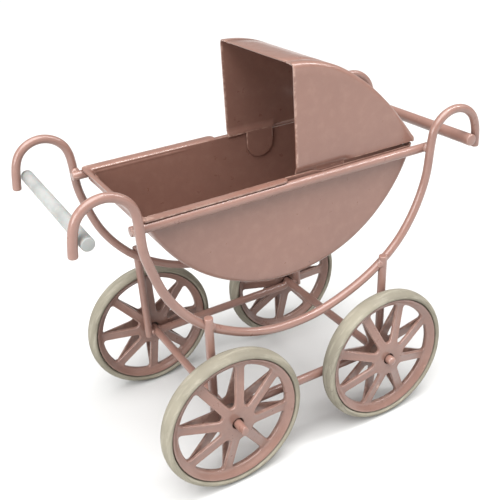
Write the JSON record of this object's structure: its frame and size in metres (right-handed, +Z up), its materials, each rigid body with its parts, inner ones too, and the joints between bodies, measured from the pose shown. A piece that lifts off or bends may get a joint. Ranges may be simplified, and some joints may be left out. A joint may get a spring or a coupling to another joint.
{
  "type": "doll stroller",
  "caption": "Toy pram with bent-rod side frames, a curved steel tub, a lift-off hood, spoked wheels with rubber tyres, a push grip and a front bar.",
  "frame": {"origin": "middle of the bounding box in X and Y, on the floor under the tyres", "axes": "+X towards the hood end, +Y to the left side, +Z up"},
  "size_m": [0.2285, 0.129, 0.2051],
  "materials": {
    "enamel": "dusty pink enamel on bent rod, satin, lightly worn",
    "enamel_sheet": "dusty pink enamel on pressed sheet, satin, faded",
    "enamel_wheel": "dusty pink enamel on pressed wheel discs, satin, rubbed on the spoke edges",
    "hub_tube": "dull, mostly hidden inside the wheel",
    "tyre": "aged grey-cream rubber, matte",
    "grip": "milky white plastic"
  },
  "bodies": {
    "chassis": {"bow_left": "enamel", "bow_right": "enamel", "rail_left": "enamel", "rail_right": "enamel", "stretcher_left": "enamel", "stretcher_right": "enamel", "post_front_left": "enamel", "post_front_right": "enamel", "post_rear_left": "enamel", "post_rear_right": "enamel", "axle_front": "enamel", "axle_rear": "enamel", "push_grip": "grip", "front_bar": "enamel", "tub_side_left": "enamel_sheet", "tub_side_right": "enamel_sheet", "tub_band": "enamel_sheet"},
    "hood": {"hood_side_left": "enamel_sheet", "hood_side_right": "enamel_sheet", "hood_band": "enamel_sheet"},
    "wheel_front_left": {"tyre_front_left": "tyre", "disc_outer_front_left": "enamel_wheel", "disc_inner_front_left": "enamel_wheel", "hub_tube_front_left": "hub_tube"},
    "wheel_front_right": {"tyre_front_right": "tyre", "disc_outer_front_right": "enamel_wheel", "disc_inner_front_right": "enamel_wheel", "hub_tube_front_right": "hub_tube"},
    "wheel_rear_left": {"tyre_rear_left": "tyre", "disc_outer_rear_left": "enamel_wheel", "disc_inner_rear_left": "enamel_wheel", "hub_tube_rear_left": "hub_tube"},
    "wheel_rear_right": {"tyre_rear_right": "tyre", "disc_outer_rear_right": "enamel_wheel", "disc_inner_rear_right": "enamel_wheel", "hub_tube_rear_right": "hub_tube"}
  },
  "joints": [
    {"name": "hood_lift", "type": "slide", "parent": "chassis", "child": "hood", "axis": [0, 0, 1], "range_m": [0, 0.045]},
    {"name": "spin_front_left", "type": "hinge", "parent": "chassis", "child": "wheel_front_left", "pos_m": [0.04565, 0.0516, 0.0388], "axis": [0, 1, 0], "continuous": true},
    {"name": "spin_front_right", "type": "hinge", "parent": "chassis", "child": "wheel_front_right", "pos_m": [0.04565, -0.0516, 0.0388], "axis": [0, 1, 0], "continuous": true},
    {"name": "spin_rear_left", "type": "hinge", "parent": "chassis", "child": "wheel_rear_left", "pos_m": [-0.04855, 0.0516, 0.0388], "axis": [0, 1, 0], "continuous": true},
    {"name": "spin_rear_right", "type": "hinge", "parent": "chassis", "child": "wheel_rear_right", "pos_m": [-0.04855, -0.0516, 0.0388], "axis": [0, 1, 0], "continuous": true}
  ]
}
